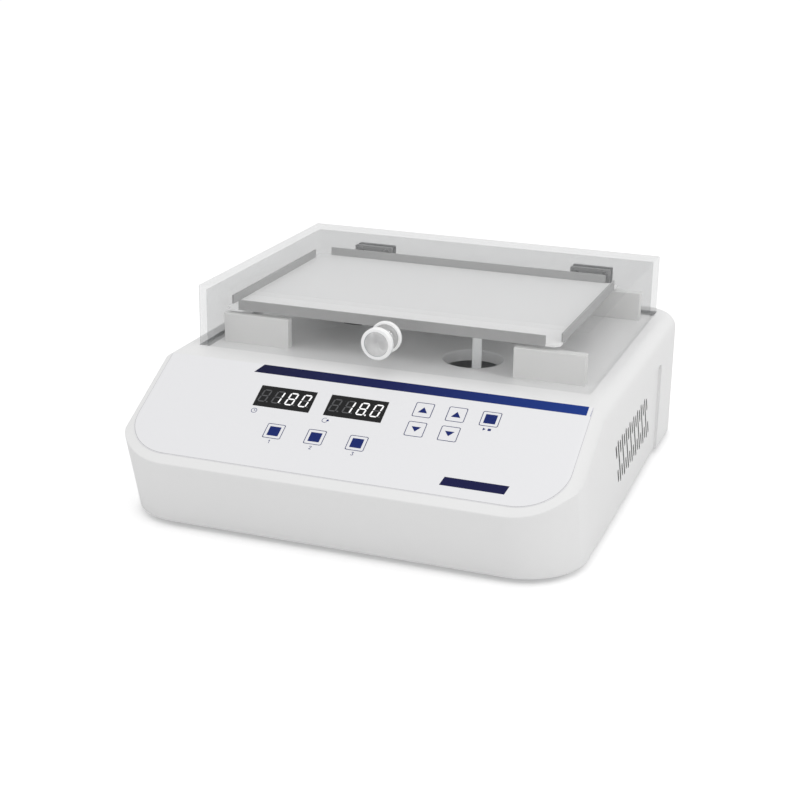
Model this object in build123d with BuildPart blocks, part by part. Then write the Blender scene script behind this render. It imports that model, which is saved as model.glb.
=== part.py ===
from build123d import *
import os
from math import atan2, cos, degrees, hypot, radians, sin, tan

# Orbital shaker: millimetres, front towards -Y, +Z up, origin on the floor under the middle
os.makedirs("parts", exist_ok=True)

# housing outline
wall = 3.0
foot_height = 5.0
body_height = 115.2
skirt_height = 57.7
half_width = 195.0
depth = 425.4
inlet_flange = 2.0
skirt_lean = 17.6
panel_run = 106.7
front_corner_radius = 52.0
rear_corner_radius = 33.0
edge_radius = 13.0
crisp_radius = 1.2

# lid, its recess in the deck and its knob
lid_side_margin = 20.0
lid_front_gap = 29.4
lid_rear_gap = 25.3
lid_height = 57.1
lid_wall = 5.0
recess_depth = 3.0
recess_clearance = 0.5
knob_height = 31.2
knob_radius = 13.6
knob_length = 25.5
knob_screw_radius = 2.5
knob_screw_length = 11.0
knob_screw_head = 2.6
knob_screw_head_radius = 4.6
knob_edge = 0.8
knob_rear_flange = 3.8
knob_front_flange = 5.5
knob_waist_radius = 6.6
knob_cove = 3.0
knob_rim = 3.0
knob_dish = 3.4
lid_edge = 1.0
lid_top_edge = 0.5

# lid hinges
hinge_offset = 110.6
hinge_width = 38.6
hinge_pin_radius = 1.5
hinge_barrel_radius = 4.0
hinge_axis_gap = 8.6
hinge_axis_rise = 11.8
hinge_leaf = 4.0
hinge_clamp = 4.0
hinge_leaf_top = 40.8
hinge_leaf_drop = 4.5
hinge_leaf_corner = 1.0
hinge_pin_overhang = 1.0
hinge_screw_offset = 13.5
hinge_screw_rise = 24.0
hinge_screw_head = 1.8
hinge_screw_head_radius = 3.2
deck_leaf_thickness = 2.4
deck_leaf_run = 8.3
deck_screw_offset = 4.0
deck_screw_radius = 1.0
deck_screw_head_radius = 2.0
deck_screw_head = 1.4
deck_screw_length = 5.0

# fits: running fit of pins, drop-in fit of screws, gap between separate pieces, root of bosses in walls
running_fit = 0.04
screw_fit = 0.02
screw_clearance = 0.2
part_gap = 0.3
base_clear = 0.25
root = 0.5
cut_past = 1.0
near = 0.01

# tray and its rails
tray_side_gap = 4.8
tray_end_gap = 8.05
tray_plate = 1.5
tray_rise = 29.1
rail_height = 9.2
rail_thickness = 1.5
rail_inset = 12.0
side_rail_rear_inset = 16.0
rail_edge = 0.3
tray_chamfer = 4.0

# orbit of the tray: centre, radius and the crank angle of the modelled position
orbit_x = -3.3
orbit_set_back = 0.95
orbit_radius = 10.0
crank_angle = 148.0

# deck holes and the rods that pass through them
hole_radius = 26.0
hole_collar = 2.5
hole_collar_depth = 10.0
hole_rim = 1.2
right_hole_x = 56.0
left_hole_x = -79.0
front_hole_gap = 63.3
left_hole_set_back = 14.3
rear_hole_gap = 43.4
rod_offset = (9.0, 3.4)
rod_radius = 4.2
rod_flange_radius = 12.0
rod_flange = 2.5
rod_screw_circle = 8.2
rod_screw_count = 3
rod_screw_radius = 1.25
rod_screw_head_radius = 2.3
rod_screw_head = 1.6
rod_tail_radius = 3.0
rod_tail_end = 0.4
rod_nut_radius = 5.5
rod_nut_height = 4.0

# rest blocks on the deck
block_width = 61.8
block_depth = 8.5
block_height = 26.3
block_side_gap = 6.0
block_front_gap = 21.3
block_rear_gap = 14.2
block_corner = 0.8
block_chamfer = 0.5

# carriage, cranks and drive: heights above the floor
base_thickness = 3.0
carriage_z = 90.0
carriage_thickness = 6.0
carriage_margin = 15.0
carriage_window_radius = 14.0
carriage_window_places = ((36.0, 34.0), (-30.0, -20.0))
crank_edge = 0.6
pin_spacer = 2.0
pin_stand = 1.0
crank_disc_z = 78.0
crank_disc_top = 84.0
crank_disc_radius = 25.0
crank_shaft_radius = 6.0
pin_radius = 3.0
counterweight_z = 70.5
counterweight_radius = 43.0
counterweight_flat = 4.0
counterweight_hub = 4.0
pulley_z = 58.0
pulley_height = 12.0
pulley_flange = 1.5
pulley_flange_rise = 2.5
pulley_hub = 4.0
pulley_hub_wall = 5.0
pulley_window_circle = 28.0
pulley_window_count = 6
pulley_window_radius = 9.0
belt_side_gap = 0.4
driven_radius = 45.0
motor_pulley_radius = 12.0
belt_thickness = 2.0
post_radius = 20.0
post_flange_radius = 38.0
post_flange = 5.0
main_bearing_radius = 14.0
main_bearing_width = 8.0
small_bearing_radius = 9.5
small_bearing_width = 6.0
idler_offsets = ((74.0, -43.35), (-60.0, -55.35))
idler_post_radius = 13.0
idler_disc_radius = 16.0
idler_post_top = 76.5
idler_flange_run = 9.0
idler_bearing_span = 22.0
bearing_seat = 2.0
shaft_foot = 5.0
motor_side_gap = 36.7
motor_rear_gap = 45.2
motor_size = 57.0
motor_top = 50.0
motor_shaft_radius = 4.0
motor_shaft_end = 2.0
motor_corner = 5.0
motor_boss_radius = 12.0
motor_boss = 1.6
motor_floor_gap = 1.0
motor_screw_pitch = 47.0
motor_screw_radius = 2.5
motor_screw_head_radius = 4.0
motor_screw_head = 2.5
motor_screw_bite = 12.0
bracket_thickness = 3.0
bracket_margin = 4.0
bracket_foot = 10.0

# panel graphics and keys: u across, t up the slant from the skirt edge
film_thickness = 0.4
film_side_margin = 9.0
film_bottom = 10.3
film_top_margin = 0.4
film_corner = 40.0
display_width = 49.6
display_height = 22.8
display_depth = 9.4
display_t = 85.9
time_display_u = -66.2
speed_display_u = -3.3
key_size = 15.4
key_corner = 1.5
key_gap = 0.25
key_flange = 1.5
key_flange_thickness = 1.2
key_travel = 0.35
key_seat_gap = 0.08
key_switch_gap = 0.1
program_key_t = 50.0
program_key_u = (-62.0, -26.0, 10.0)
upper_key_t = 94.0
lower_key_t = 73.0
time_key_u = 52.0
speed_key_u = 80.0
run_key_u = 108.3
board_depth = 9.0
board_thickness = 1.6
board_left_margin = 13.0
board_right_margin = 14.0
board_end_margin = 6.3
switch_size = 6.0
switch_stem_radius = 1.5
switch_stem = 1.0
board_screw_inset = 5.0
board_screw_bite = 5.0
pillar_radius = 3.5

# side vents
vent_depth = 2.8
vent_top = 85.0
vent_front_gap = 53.7
vent_rear_gap = 53.0
vent_corner = 9.0
slot_width = 3.4
slot_pitch = 16.0
slot_middle_z = 47.5
slot_long = 50.0
slot_short = 14.5
slot_row = 26.0
slot_front_gap = 4.0
slot_rear_gap = 40.0

# feet, base screws and rear fittings
foot_radius = 13.0
foot_taper = 1.5
foot_side_gap = 45.0
foot_front_gap = 62.7
foot_rear_gap = 36.7
foot_stud_radius = 3.0
foot_stud_head_radius = 4.2
foot_stud_head = 2.0
foot_stud_gap = 0.1
screw_radius = 1.5
screw_head_radius = 2.8
screw_head = 2.0
base_boss_radius = 5.0
base_boss_height = 14.0
base_boss_bore = 12.0
base_screw_bite = 10.0
base_boss_side_gap = 20.0
base_boss_side_y = (-60.0, 80.0)
base_boss_rear_x = 110.0
base_boss_rear_gap = 12.7
base_vent_pitch = (14.0, 9.0)
base_vent_count = (7, 4)
base_vent_slot = (11.0, 3.0)
inlet_side_gap = 6.0
inlet_z = 55.0
inlet_width = 72.0
inlet_height = 32.0
inlet_margin = (4.0, 3.0)
inlet_corner = 3.0
inlet_depth = 22.0
socket_x = -14.0
socket_width = 24.5
socket_height = 17.0
socket_depth = 16.0
socket_corner = 2.0
socket_pin = (2.0, 4.0)
socket_pin_places = ((-7.0, 0.0), (0.0, 3.0), (7.0, 0.0))
rocker_offset = 22.0
rocker_hole = (14.0, 21.0)
rocker_hole_depth = 12.0
rocker_half = 9.2
rocker_tilt = 8.0
rocker_reach = 5.0
rocker_back = 4.0
rocker_back_half = 6.0
power_board_side_gap = 32.0
power_board_rear_gap = 35.7
power_board_size = (84.0, 104.0)
power_pillar_inset = 6.0
power_pillar_height = 8.0
power_part_height = 26.0
transformer_size = (40.0, 34.0)
transformer_offset = (-12.0, 30.0)
capacitor_radius = 9.0
capacitor_offsets = ((23.0, -30.0), (-2.0, -30.0))

# values worked out from the ones above
front_y = -depth / 2
rear_y = depth / 2 - inlet_flange
floor_z = foot_height
top_z = foot_height + body_height
skirt_z = foot_height + skirt_height
bend_y = front_y + panel_run
slope = atan2(body_height - skirt_height, panel_run)
deck_z = top_z - recess_depth
lid_rear_y = rear_y - lid_rear_gap
lid_front_y = bend_y + lid_front_gap
lid_depth = lid_rear_y - lid_front_y
lid_middle = (lid_front_y + lid_rear_y) / 2
lid_half_width = half_width - lid_side_margin
lid_top = deck_z + lid_height
orbit_y = lid_middle + orbit_set_back
hole_places = (
    (right_hole_x, lid_front_y + front_hole_gap),
    (left_hole_x, lid_middle + left_hole_set_back),
    (right_hole_x, lid_rear_y - rear_hole_gap),
)
block_outer_x = lid_half_width - lid_wall - block_side_gap
block_front_y = lid_front_y + lid_wall + block_front_gap
block_rear_y = lid_rear_y - lid_wall - block_rear_gap
idler_places = tuple((orbit_x + x, orbit_y + y) for x, y in idler_offsets)
crank_shift = (orbit_radius * cos(radians(crank_angle)), orbit_radius * sin(radians(crank_angle)))
tray_x = orbit_x + crank_shift[0]
tray_y = orbit_y + crank_shift[1]
tray_z = deck_z + tray_rise
tray_half_width = lid_half_width - lid_wall - orbit_radius - abs(orbit_x) - tray_side_gap
tray_half_depth = lid_depth / 2 - lid_wall - orbit_radius - orbit_set_back - tray_end_gap
rod_shift = (rod_offset[0] + crank_shift[0], rod_offset[1] + crank_shift[1])
rod_places = [(x + rod_shift[0], y + rod_shift[1]) for x, y in hole_places]
carriage_top = carriage_z + carriage_thickness
base_top = floor_z + base_thickness
pin_top = carriage_top + pin_stand
hinge_y = lid_rear_y + hinge_axis_gap
hinge_z = deck_z + hinge_axis_rise
panel_plane = Plane(origin=(0, front_y, skirt_z), x_dir=(1, 0, 0), z_dir=(0, -sin(slope), cos(slope)))
film_half_width = half_width - film_side_margin
film_top = panel_run / cos(slope) - film_top_margin
board_top = -board_depth
board_u = (
    time_display_u - display_width / 2 - board_left_margin,
    run_key_u + key_size / 2 + board_right_margin,
)
board_t = (
    program_key_t - key_size / 2 - board_end_margin,
    upper_key_t + key_size / 2 + board_end_margin,
)
display_top = film_thickness
knob_z = deck_z + knob_height
lid_screw_z = hinge_z + hinge_screw_rise
knuckle = hinge_width / 3
inlet_x = rear_corner_radius + inlet_side_gap + inlet_width / 2 - half_width
rocker_x = inlet_x + rocker_offset
vent_front_y = bend_y + vent_front_gap
vent_rear_y = rear_y - rear_corner_radius - vent_rear_gap
slot_first_y = vent_front_y + slot_front_gap
slot_columns = int((vent_rear_y - slot_first_y - slot_rear_gap) / slot_pitch) + 1
base_boss_x = half_width - wall - base_boss_side_gap
base_boss_rear_y = rear_y - wall - base_boss_rear_gap
base_boss_places = [(side * base_boss_x, y) for side in (-1, 1) for y in base_boss_side_y]
base_boss_places += [(side * base_boss_rear_x, base_boss_rear_y) for side in (-1, 1)]
foot_places = [
    (side * (half_width - foot_side_gap), y)
    for side in (-1, 1)
    for y in (front_y + foot_front_gap, rear_y - foot_rear_gap)
]
bracket_half = motor_size / 2 + bracket_margin
motor_x = half_width - wall - vent_depth - motor_side_gap - bracket_foot - bracket_half
motor_y = rear_y - wall - motor_rear_gap - bracket_half
power_board_place = (
    wall + power_board_side_gap + power_board_size[0] / 2 - half_width,
    rear_y - wall - power_board_rear_gap - power_board_size[1] / 2,
)
power_pillar_pitch = [size - 2 * power_pillar_inset for size in power_board_size]
deck_screw_places = [
    (side * hinge_offset + shift, hinge_y)
    for side in (-1, 1)
    for shift in (-deck_screw_offset, deck_screw_offset)
]


def finish(piece, label):
    """name a piece and write its file"""
    piece.part.label = label
    export_step(piece.part, f"parts/{label}.step")


def upright(y):
    """plane that faces the front at a given y, local x = X and local y = Z"""
    return Plane(origin=(0, y, 0), x_dir=(1, 0, 0), z_dir=(0, -1, 0))


def sideways(x):
    """plane that faces +X at a given x, local x = Y and local y = Z"""
    return Plane(origin=(x, 0, 0), x_dir=(0, 1, 0), z_dir=(1, 0, 0))


# the housing's outer form, or the same form moved inwards by an inset
def bend_line(inset):
    return bend_y + inset * tan(slope / 2)


def front_form(inset, bottom):
    rise = tan(slope)
    lean = skirt_lean / skirt_height
    top = top_z - inset
    bend = bend_line(inset)
    skirt_shift = inset * hypot(1, lean)
    panel_drop = inset * hypot(1, rise)
    edge_y = (
        front_y + lean * (skirt_z - top_z + rise * bend_y + panel_drop) + skirt_shift
    ) / (1 + lean * rise)
    edge_z = top_z + rise * (edge_y - bend_y) - panel_drop
    bottom_y = front_y + lean * (skirt_z - bottom) + skirt_shift
    half = half_width - inset
    radius = edge_radius - inset
    with BuildPart() as form:
        with BuildSketch(sideways(0)):
            with BuildLine():
                Polyline((bend, bottom), (bottom_y, bottom), (edge_y, edge_z), (bend, top), close=True)
            make_face()
        extrude(amount=half, both=True)
        corners = [
            e for e in form.edges()
            if abs(abs(e.center().X) - half) < near
            and abs(e.tangent_at(0.5).X) < near
            and e.center().Y < (bottom_y + edge_y) / 2 + near
        ]
        fillet(corners, front_corner_radius - inset)
        rim = [
            e for e in form.edges()
            if e.center().Z > (bottom + edge_z) / 2 + near and e.center().Y < bend - near
        ]
        fillet(rim, crisp_radius)
        with BuildSketch(upright(bend)):
            with BuildLine():
                Polyline(
                    (half, top - radius),
                    (half, bottom - panel_run),
                    (-half, bottom - panel_run),
                    (-half, top - radius),
                )
                RadiusArc((-half, top - radius), (-half + radius, top), radius)
                Line((-half + radius, top), (half - radius, top))
                RadiusArc((half - radius, top), (half, top - radius), radius)
            make_face()
        extrude(amount=2 * panel_run, dir=(0, -cos(slope), -sin(slope)), mode=Mode.INTERSECT)
    return form.part


def rear_form(inset, bottom):
    top = top_z - inset
    bend = bend_line(inset)
    half = half_width - inset
    back = rear_y - inset
    with BuildPart() as form:
        with BuildSketch(Plane.XY.offset(bottom)):
            with Locations((0, (bend + back) / 2)):
                Rectangle(2 * half, back - bend)
        extrude(amount=top - bottom)
        fillet(form.edges().filter_by(Axis.Z).group_by(Axis.Y)[-1], rear_corner_radius - inset)
        rim = [e for e in form.edges().group_by(Axis.Z)[-1] if e.center().Y > bend + near]
        fillet(rim, edge_radius - inset)
    return form.part


def slot_rows():
    """middle point and length of each vent slot, in y and z"""
    rows = []
    for i in range(slot_columns):
        y = slot_first_y + i * slot_pitch
        for side in (-1, 1):
            rise = side * slot_row / 2
            rows.append((y - rise * tan(slope), slot_middle_z + foot_height + rise, slot_short))
        if i < slot_columns - 1:
            rows.append((y + slot_pitch / 2, slot_middle_z + foot_height, slot_long))
    return rows


key_centres = {
    "key_program_1": (program_key_u[0], program_key_t),
    "key_program_2": (program_key_u[1], program_key_t),
    "key_program_3": (program_key_u[2], program_key_t),
    "key_time_up": (time_key_u, upper_key_t),
    "key_time_down": (time_key_u, lower_key_t),
    "key_speed_up": (speed_key_u, upper_key_t),
    "key_speed_down": (speed_key_u, lower_key_t),
    "key_run_stop": (run_key_u, upper_key_t),
}
display_centres = ((time_display_u, display_t), (speed_display_u, display_t))
board_screws = [
    (u, t)
    for u in (board_u[0] + board_screw_inset, board_u[1] - board_screw_inset)
    for t in (board_t[0] + board_screw_inset, board_t[1] - board_screw_inset)
]


# Cutter for the side vents: wedges with a rounded upper rear corner
with BuildPart() as vent_wedges:
    with BuildSketch(Plane.XY.offset(floor_z - cut_past)):
        for side in (-1, 1):
            with BuildLine():
                Polyline(
                    (side * (half_width + cut_past), vent_front_y),
                    (side * half_width, vent_front_y),
                    (side * (half_width - vent_depth), vent_rear_y),
                    (side * (half_width + cut_past), vent_rear_y),
                    close=True,
                )
            make_face()
    extrude(amount=vent_top + cut_past)
    upper_rear = [
        e for e in vent_wedges.edges().filter_by(Axis.X)
        if e.center().Z > vent_top and e.center().Y > vent_rear_y - cut_past
    ]
    fillet(upper_rear, vent_corner)


# Housing shell: one moulding with the lid recess, deck holes, panel windows and side vents
outer_front = front_form(0, floor_z)
outer_rear = rear_form(0, floor_z)
inner_front = front_form(wall, floor_z - cut_past)
inner_rear = rear_form(wall, floor_z - cut_past)
with BuildPart() as housing:
    add(outer_front)
    add(outer_rear)
    add(inner_front, mode=Mode.SUBTRACT)
    add(inner_rear, mode=Mode.SUBTRACT)
    recess_half = lid_half_width + recess_clearance
    recess_run = lid_depth + 2 * recess_clearance
    with BuildSketch(Plane.XY.offset(deck_z - wall)):
        with Locations((0, lid_middle)):
            Rectangle(2 * (recess_half + wall), recess_run + 2 * wall)
    extrude(amount=wall)
    with BuildSketch(Plane.XY.offset(deck_z)):
        with Locations((0, lid_middle)):
            Rectangle(2 * recess_half, recess_run)
    extrude(amount=recess_depth + cut_past, mode=Mode.SUBTRACT)
    # collars under the deck holes
    with BuildSketch(Plane.XY.offset(deck_z - hole_collar_depth)):
        with Locations(*hole_places):
            Circle(hole_radius + hole_collar)
    extrude(amount=hole_collar_depth)
    with BuildSketch(Plane.XY.offset(deck_z - hole_collar_depth)):
        with Locations(*hole_places):
            Circle(hole_radius)
    extrude(amount=hole_collar_depth, mode=Mode.SUBTRACT)
    rims = [e for e in housing.edges().filter_by(GeomType.CIRCLE)
            if abs(e.radius - hole_radius) < near and abs(e.center().Z - deck_z) < near]
    fillet(rims, hole_rim)
    # windows for the displays and keys, and pillars for the board
    with BuildSketch(panel_plane.offset(-wall - cut_past)):
        with Locations(*display_centres):
            Rectangle(display_width + 2 * key_gap, display_height + 2 * key_gap)
        with Locations(*key_centres.values()):
            RectangleRounded(key_size + 2 * key_gap, key_size + 2 * key_gap, key_corner)
    extrude(amount=wall + 2 * cut_past, mode=Mode.SUBTRACT)
    with BuildSketch(panel_plane.offset(board_top)):
        with Locations(*board_screws):
            Circle(pillar_radius)
    extrude(amount=board_depth - wall + root)
    with BuildSketch(panel_plane.offset(board_top)):
        with Locations(*board_screws):
            Circle(screw_radius)
    extrude(amount=board_depth - wall, mode=Mode.SUBTRACT)
    # bosses that take the base screws, each with a rib to its wall
    with BuildSketch(Plane.XY.offset(base_top)):
        with Locations(*base_boss_places):
            Circle(base_boss_radius)
        for side in (-1, 1):
            rib_end = half_width - wall / 2
            with Locations(*[(side * (base_boss_x + rib_end) / 2, y) for y in base_boss_side_y]):
                Rectangle(rib_end - base_boss_x, wall)
            rib_end = rear_y - wall / 2
            with Locations((side * base_boss_rear_x, (base_boss_rear_y + rib_end) / 2)):
                Rectangle(wall, rib_end - base_boss_rear_y)
    extrude(amount=base_boss_height)
    with BuildSketch(Plane.XY.offset(base_top)):
        with Locations(*base_boss_places):
            Circle(screw_radius)
    extrude(amount=base_boss_bore, mode=Mode.SUBTRACT)
    # vent recesses, a wedge that deepens towards the rear, and their slots
    for side in (-1, 1):
        with BuildSketch(Plane.XY.offset(floor_z)):
            with BuildLine():
                Polyline(
                    (side * (half_width - wall / 2), vent_front_y),
                    (side * (half_width - wall / 2), vent_rear_y + wall),
                    (side * (half_width - vent_depth - wall), vent_rear_y + wall),
                    (side * (half_width - vent_depth - wall), vent_rear_y),
                    close=True,
                )
            make_face()
        extrude(amount=vent_top + wall)
    add(vent_wedges.part, mode=Mode.SUBTRACT)
    with BuildSketch(sideways(0)):
        for y, z, length in slot_rows():
            with Locations(Location((y, z, 0), (0, 0, 90 + degrees(slope)))):
                SlotOverall(length, slot_width)
    extrude(amount=half_width + cut_past, both=True, mode=Mode.SUBTRACT)
    # pilot holes for the hinge screws and window for the power inlet
    with BuildSketch(Plane.XY.offset(top_z)):
        with Locations(*deck_screw_places):
            Circle(deck_screw_radius)
    extrude(amount=-wall, mode=Mode.SUBTRACT)
    with BuildSketch(upright(rear_y + cut_past)):
        with Locations((inlet_x, inlet_z)):
            Rectangle(inlet_width - 2 * inlet_margin[0], inlet_height - 2 * inlet_margin[1])
    extrude(amount=wall + 2 * cut_past, mode=Mode.SUBTRACT)
finish(housing, "housing")


# Panel film: a thin printed sheet that follows the slanted panel and its rounded sides
film_outer = front_form(-film_thickness, floor_z)
with BuildPart() as film_blank:
    with BuildSketch(panel_plane.offset(-edge_radius)):
        middle = (film_bottom + film_top) / 2
        with Locations((0, middle)):
            Rectangle(2 * film_half_width, film_top - film_bottom)
        fillet(vertices().group_by(Axis.Y)[0], film_corner)
    extrude(amount=edge_radius + wall)
with BuildPart() as panel_film:
    add(film_outer)
    add(film_blank.part, mode=Mode.INTERSECT)
    add(outer_front, mode=Mode.SUBTRACT)
    with BuildSketch(panel_plane.offset(-wall)):
        with Locations(*display_centres):
            Rectangle(display_width + 2 * key_gap, display_height + 2 * key_gap)
        with Locations(*key_centres.values()):
            RectangleRounded(key_size + 2 * key_gap, key_size + 2 * key_gap, key_corner)
    extrude(amount=2 * wall, mode=Mode.SUBTRACT)
finish(panel_film, "panel_film")


# Display modules: black block with its face level with the film
for name, centre in (("display_time", display_centres[0]), ("display_speed", display_centres[1])):
    with BuildPart() as display:
        with BuildSketch(panel_plane.offset(board_top)):
            with Locations(centre):
                Rectangle(display_width, display_height)
        extrude(amount=display_top - board_top)
    finish(display, name)


# Membrane keys: a square pad in its window, with a flange behind the panel
for name, centre in key_centres.items():
    with BuildPart() as key:
        with BuildSketch(panel_plane.offset(-wall)):
            with Locations(centre):
                RectangleRounded(key_size, key_size, key_corner)
        extrude(amount=wall + film_thickness)
        with BuildSketch(panel_plane.offset(-wall - key_seat_gap)):
            with Locations(centre):
                RectangleRounded(key_size, key_size, key_corner)
        extrude(amount=wall / 2)
        with BuildSketch(panel_plane.offset(-wall - key_seat_gap - key_flange_thickness)):
            with Locations(centre):
                RectangleRounded(key_size + 2 * key_flange, key_size + 2 * key_flange, key_corner)
        extrude(amount=key_flange_thickness)
    finish(key, name)


# Control board behind the panel, its key switches and its screws
with BuildPart() as control_board:
    with BuildSketch(panel_plane.offset(board_top - board_thickness)):
        with Locations(((board_u[0] + board_u[1]) / 2, (board_t[0] + board_t[1]) / 2)):
            Rectangle(board_u[1] - board_u[0], board_t[1] - board_t[0])
        with Locations(*board_screws):
            Circle(screw_radius + screw_clearance, mode=Mode.SUBTRACT)
    extrude(amount=board_thickness)
finish(control_board, "control_board")

switch_height = board_depth - wall - key_seat_gap - key_flange_thickness - key_travel - key_switch_gap
with BuildPart() as key_switches:
    with BuildSketch(panel_plane.offset(board_top)):
        with Locations(*key_centres.values()):
            Rectangle(switch_size, switch_size)
    extrude(amount=switch_height - switch_stem)
    with BuildSketch(panel_plane.offset(board_top + switch_height - switch_stem)):
        with Locations(*key_centres.values()):
            Circle(switch_stem_radius)
    extrude(amount=switch_stem)
finish(key_switches, "key_switches")

with BuildPart() as board_screw_set:
    with BuildSketch(panel_plane.offset(board_top - board_thickness - screw_head)):
        with Locations(*board_screws):
            Circle(screw_head_radius)
    extrude(amount=screw_head)
    with BuildSketch(panel_plane.offset(board_top - board_thickness)):
        with Locations(*board_screws):
            Circle(screw_radius)
    extrude(amount=board_thickness + board_screw_bite)
finish(board_screw_set, "board_screws")


# Base plate, its screws and the feet
with BuildPart() as base_plate:
    plate_front = front_y + skirt_lean + wall * hypot(1, skirt_lean / skirt_height) + base_clear
    plate_rear = rear_y - wall - base_clear
    with BuildSketch(Plane.XY.offset(floor_z)):
        with Locations((0, (plate_front + plate_rear) / 2)):
            Rectangle(2 * (half_width - wall - base_clear), plate_rear - plate_front)
        fillet(vertices().group_by(Axis.Y)[0], front_corner_radius)
        fillet(vertices().group_by(Axis.Y)[-1], rear_corner_radius - wall)
        with Locations(*base_boss_places):
            Circle(screw_radius + screw_clearance, mode=Mode.SUBTRACT)
        with Locations(*foot_places):
            Circle(foot_stud_radius, mode=Mode.SUBTRACT)
        with GridLocations(*base_vent_pitch, *base_vent_count):
            SlotOverall(*base_vent_slot, mode=Mode.SUBTRACT)
    extrude(amount=base_thickness)
    with BuildSketch(Plane.XY.offset(floor_z)):
        for side in (-1, 1):
            with BuildLine():
                Polyline(
                    (side * half_width, vent_front_y),
                    (side * (half_width - wall / 2 - base_clear), vent_front_y),
                    (side * (half_width - vent_depth - wall - base_clear), vent_rear_y),
                    (side * (half_width - vent_depth - wall - base_clear), vent_rear_y + wall + base_clear),
                    (side * half_width, vent_rear_y + wall + base_clear),
                    close=True,
                )
            make_face()
    extrude(amount=base_thickness, mode=Mode.SUBTRACT)
finish(base_plate, "base_plate")

with BuildPart() as base_screw_set:
    with BuildSketch(Plane.XY.offset(floor_z - screw_head)):
        with Locations(*base_boss_places):
            Circle(screw_head_radius)
    extrude(amount=screw_head)
    with BuildSketch(Plane.XY.offset(floor_z)):
        with Locations(*base_boss_places):
            Circle(screw_radius)
    extrude(amount=base_thickness + base_screw_bite)
finish(base_screw_set, "base_screws")

with BuildPart() as feet:
    with Locations(*foot_places):
        Cone(
            foot_radius - foot_taper, foot_radius, foot_height,
            align=(Align.CENTER, Align.CENTER, Align.MIN),
        )
    with BuildSketch(Plane.XY.offset(foot_height)):
        with Locations(*foot_places):
            Circle(foot_stud_radius - foot_stud_gap)
    extrude(amount=base_thickness)
    with BuildSketch(Plane.XY.offset(base_top)):
        with Locations(*foot_places):
            Circle(foot_stud_head_radius)
    extrude(amount=foot_stud_head)
finish(feet, "feet")


# Rest blocks on the four corners of the deck
block_middle_x = block_outer_x - block_width / 2
for name, side, y in (
    ("rest_block_front_left", -1, block_front_y + block_depth / 2),
    ("rest_block_front_right", 1, block_front_y + block_depth / 2),
    ("rest_block_rear_left", -1, block_rear_y - block_depth / 2),
    ("rest_block_rear_right", 1, block_rear_y - block_depth / 2),
):
    with BuildPart() as rest_block:
        with BuildSketch(Plane.XY.offset(deck_z)):
            with Locations((side * block_middle_x, y)):
                RectangleRounded(block_width, block_depth, block_corner)
        extrude(amount=block_height)
        chamfer(rest_block.edges().group_by(Axis.Z)[-1], block_chamfer)
    finish(rest_block, name)


# Clear lid: a box open at the bottom, drilled for the knob and the hinges
lid_screw_places = [
    (side * hinge_offset + shift, lid_screw_z)
    for side in (-1, 1)
    for shift in (-hinge_screw_offset, hinge_screw_offset)
]
with BuildPart() as lid:
    with BuildSketch(Plane.XY.offset(deck_z)):
        with Locations((0, lid_middle)):
            Rectangle(2 * lid_half_width, lid_depth)
    extrude(amount=lid_height)
    fillet(lid.edges().filter_by(Axis.Z), lid_edge)
    chamfer(lid.edges().group_by(Axis.Z)[-1], lid_top_edge)
    with BuildSketch(Plane.XY.offset(deck_z)):
        with Locations((0, lid_middle)):
            Rectangle(2 * (lid_half_width - lid_wall), lid_depth - 2 * lid_wall)
    extrude(amount=lid_height - lid_wall, mode=Mode.SUBTRACT)
    with BuildSketch(upright(lid_front_y + lid_wall + cut_past)):
        with Locations((0, knob_z)):
            Circle(knob_screw_radius + screw_fit)
    extrude(amount=lid_wall + 2 * cut_past, mode=Mode.SUBTRACT)
    with BuildSketch(upright(lid_rear_y + cut_past)):
        with Locations(*lid_screw_places):
            Circle(screw_radius + screw_fit)
    extrude(amount=lid_wall + 2 * cut_past, mode=Mode.SUBTRACT)
finish(lid, "lid")


# Lid knob: a spool with a dished front face, and the screw that holds it
front_flange_y = -knob_length + knob_front_flange
with BuildPart() as lid_knob:
    with BuildSketch(Plane(origin=(0, lid_front_y, knob_z), x_dir=(1, 0, 0), z_dir=(0, 0, 1))):
        with BuildLine():
            Polyline(
                (0, 0),
                (knob_radius - knob_edge, 0),
                (knob_radius, -knob_edge),
                (knob_radius, knob_edge - knob_rear_flange),
                (knob_radius - knob_edge, -knob_rear_flange),
                (knob_waist_radius + knob_edge, -knob_rear_flange - knob_edge),
                (knob_waist_radius, -knob_rear_flange - knob_cove),
                (knob_waist_radius, front_flange_y + knob_cove),
                (knob_waist_radius + knob_edge, front_flange_y + knob_edge),
                (knob_radius - knob_edge, front_flange_y),
                (knob_radius, front_flange_y - knob_edge),
                (knob_radius, -knob_length + knob_edge),
                (knob_radius - knob_edge, -knob_length),
                (knob_radius - knob_rim, -knob_length),
                (knob_radius - knob_rim - knob_edge / 2, -knob_length + knob_edge),
                (0, -knob_length + knob_dish),
                close=True,
            )
        make_face()
    revolve(axis=Axis((0, 0, knob_z), (0, -1, 0)))
    with BuildSketch(upright(lid_front_y)):
        with Locations((0, knob_z)):
            Circle(knob_screw_radius + screw_fit)
    extrude(amount=knob_screw_length + cut_past, mode=Mode.SUBTRACT)
finish(lid_knob, "lid_knob")

with BuildPart() as knob_screw:
    with BuildSketch(upright(lid_front_y + lid_wall)):
        with Locations((0, knob_z)):
            Circle(knob_screw_radius)
    extrude(amount=lid_wall + knob_screw_length)
    with BuildSketch(upright(lid_front_y + lid_wall + knob_screw_head)):
        with Locations((0, knob_z)):
            Circle(knob_screw_head_radius)
    extrude(amount=knob_screw_head)
finish(knob_screw, "knob_screw")


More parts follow.
